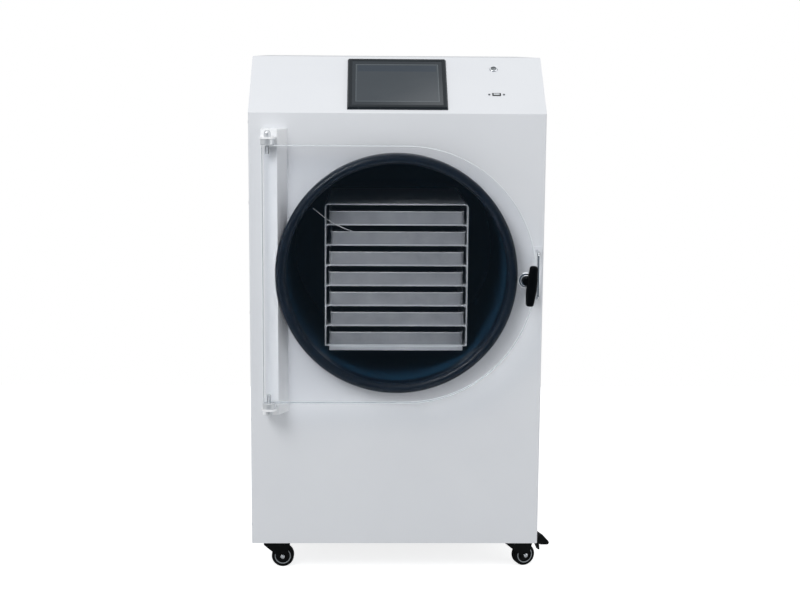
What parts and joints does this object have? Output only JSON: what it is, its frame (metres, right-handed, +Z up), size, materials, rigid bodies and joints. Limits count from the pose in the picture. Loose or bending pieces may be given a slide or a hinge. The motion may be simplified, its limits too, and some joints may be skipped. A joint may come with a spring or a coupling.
{
  "type": "freeze dryer",
  "caption": "Floor-standing freeze dryer: sheet-steel cabinet on casters with a round vacuum chamber, clear hinged door, tray rack and a sloping touch console.",
  "frame": {"origin": "on the floor, under the middle of the cabinet", "axes": "+Z up; +Y from the door to the back; +X to the right as seen from the front"},
  "size_m": [0.7026, 0.8385, 1.184],
  "materials": {
    "cabinet_paint": "white powder coat",
    "drum_steel": "dark satin coating",
    "gasket_rubber": "satin black",
    "foam": "open cell foam jacket",
    "copper": "drawn tube",
    "stainless": "brushed",
    "zinc_steel": "zinc plated",
    "chrome": "polished",
    "acrylic": "clear cast acrylic",
    "black_plastic": "satin black",
    "bezel_plastic": "fine matt",
    "screen": "dark cover glass, off",
    "wire_jacket": "smooth",
    "black_steel": "black enamel",
    "condenser_fins": "mill finish",
    "wheel_plastic": "moulded",
    "tyre_rubber": "solid rubber"
  },
  "bodies": {
    "cabinet": {"front_panel": "cabinet_paint", "top_cover": "cabinet_paint", "left_side_panel": "cabinet_paint", "right_side_panel": "cabinet_paint", "back_panel": "cabinet_paint", "base_pan": "zinc_steel", "inner_frame": "zinc_steel", "chamber_drum": "drum_steel", "door_gasket": "gasket_rubber", "drum_insulation": "foam", "refrigerant_pipes": "copper", "tray_rack": "stainless", "rack_base_plate": "stainless", "probe_wire": "wire_jacket", "probe_tip": "stainless", "hinge_post": "cabinet_paint", "upper_hinge_pin": "chrome", "lower_hinge_pin": "chrome", "strike_rod": "chrome", "strike_plate": "cabinet_paint", "screen_housing": "bezel_plastic", "screen_glass": "screen", "button_body": "chrome", "data_socket": "black_plastic", "panel_screws": "zinc_steel", "compressor": "black_steel", "condenser": "condenser_fins", "fan_frame": "black_plastic", "control_box": "zinc_steel", "vacuum_port": "stainless", "drain_outlet": "stainless", "power_inlet": "black_plastic", "caster_plates": "black_steel", "tray_1": "stainless", "tray_2": "stainless", "tray_3": "stainless", "tray_4": "stainless", "tray_5": "stainless", "tray_6": "stainless", "tray_7": "stainless"},
    "door": {"door_panel": "acrylic", "latch_boss": "chrome"},
    "latch": {"latch_lever": "black_plastic", "latch_tongue": "chrome"},
    "button": {"button_cap": "chrome"},
    "fan": {"fan_rotor": "black_plastic"},
    "front_left_swivel": {"front_left_fork": "black_steel"},
    "front_left_wheel": {"front_left_rim": "wheel_plastic", "front_left_tyre": "tyre_rubber"},
    "front_right_swivel": {"front_right_fork": "black_steel"},
    "front_right_wheel": {"front_right_rim": "wheel_plastic", "front_right_tyre": "tyre_rubber"},
    "front_right_brake": {"front_right_pedal": "black_steel"},
    "rear_left_swivel": {"rear_left_fork": "black_steel"},
    "rear_left_wheel": {"rear_left_rim": "wheel_plastic", "rear_left_tyre": "tyre_rubber"},
    "rear_left_brake": {"rear_left_pedal": "black_steel"},
    "rear_right_swivel": {"rear_right_fork": "black_steel"},
    "rear_right_wheel": {"rear_right_rim": "wheel_plastic", "rear_right_tyre": "tyre_rubber"}
  },
  "joints": [
    {"name": "door_hinge", "type": "hinge", "parent": "cabinet", "child": "door", "pos_m": [-0.284, -0.4073, 0.708], "axis": [0, 0, -1], "range_deg": [0, 165]},
    {"name": "latch_turn", "type": "hinge", "parent": "door", "child": "latch", "pos_m": [0.283, -0.4193, 0.702], "axis": [0, -1, 0], "range_deg": [0, 90]},
    {"name": "button_press", "type": "slide", "parent": "cabinet", "child": "button", "axis": [0, 0.616, -0.7877], "range_m": [0, 0.002], "stiffness_N_per_m": 600},
    {"name": "fan_spin", "type": "hinge", "parent": "cabinet", "child": "fan", "pos_m": [0.14, 0.3205, 0.2027], "axis": [0, 1, 0], "continuous": true},
    {"name": "front_left_swivel_turn", "type": "hinge", "parent": "cabinet", "child": "front_left_swivel", "pos_m": [-0.284, -0.29, 0.064], "axis": [0, 0, 1], "continuous": true},
    {"name": "front_left_wheel_roll", "type": "hinge", "parent": "front_left_swivel", "child": "front_left_wheel", "pos_m": [-0.262, -0.29, 0.026], "axis": [0, 1, 0], "continuous": true},
    {"name": "front_right_swivel_turn", "type": "hinge", "parent": "cabinet", "child": "front_right_swivel", "pos_m": [0.284, -0.29, 0.064], "axis": [0, 0, 1], "continuous": true},
    {"name": "front_right_wheel_roll", "type": "hinge", "parent": "front_right_swivel", "child": "front_right_wheel", "pos_m": [0.30467, -0.28248, 0.026], "axis": [-0.342, 0.9397, 0], "continuous": true},
    {"name": "front_right_brake_press", "type": "hinge", "parent": "front_right_swivel", "child": "front_right_brake", "pos_m": [0.31407, -0.27905, 0.058], "axis": [-0.342, 0.9397, 0], "range_deg": [0, 15]},
    {"name": "rear_left_swivel_turn", "type": "hinge", "parent": "cabinet", "child": "rear_left_swivel", "pos_m": [-0.284, 0.29, 0.064], "axis": [0, 0, 1], "continuous": true},
    {"name": "rear_left_wheel_roll", "type": "hinge", "parent": "rear_left_swivel", "child": "rear_left_wheel", "pos_m": [-0.262, 0.29, 0.026], "axis": [0, 1, 0], "continuous": true},
    {"name": "rear_left_brake_press", "type": "hinge", "parent": "rear_left_swivel", "child": "rear_left_brake", "pos_m": [-0.252, 0.29, 0.058], "axis": [0, 1, 0], "range_deg": [0, 15]},
    {"name": "rear_right_swivel_turn", "type": "hinge", "parent": "cabinet", "child": "rear_right_swivel", "pos_m": [0.284, 0.29, 0.064], "axis": [0, 0, 1], "continuous": true},
    {"name": "rear_right_wheel_roll", "type": "hinge", "parent": "rear_right_swivel", "child": "rear_right_wheel", "pos_m": [0.306, 0.29, 0.026], "axis": [0, 1, 0], "continuous": true}
  ]
}
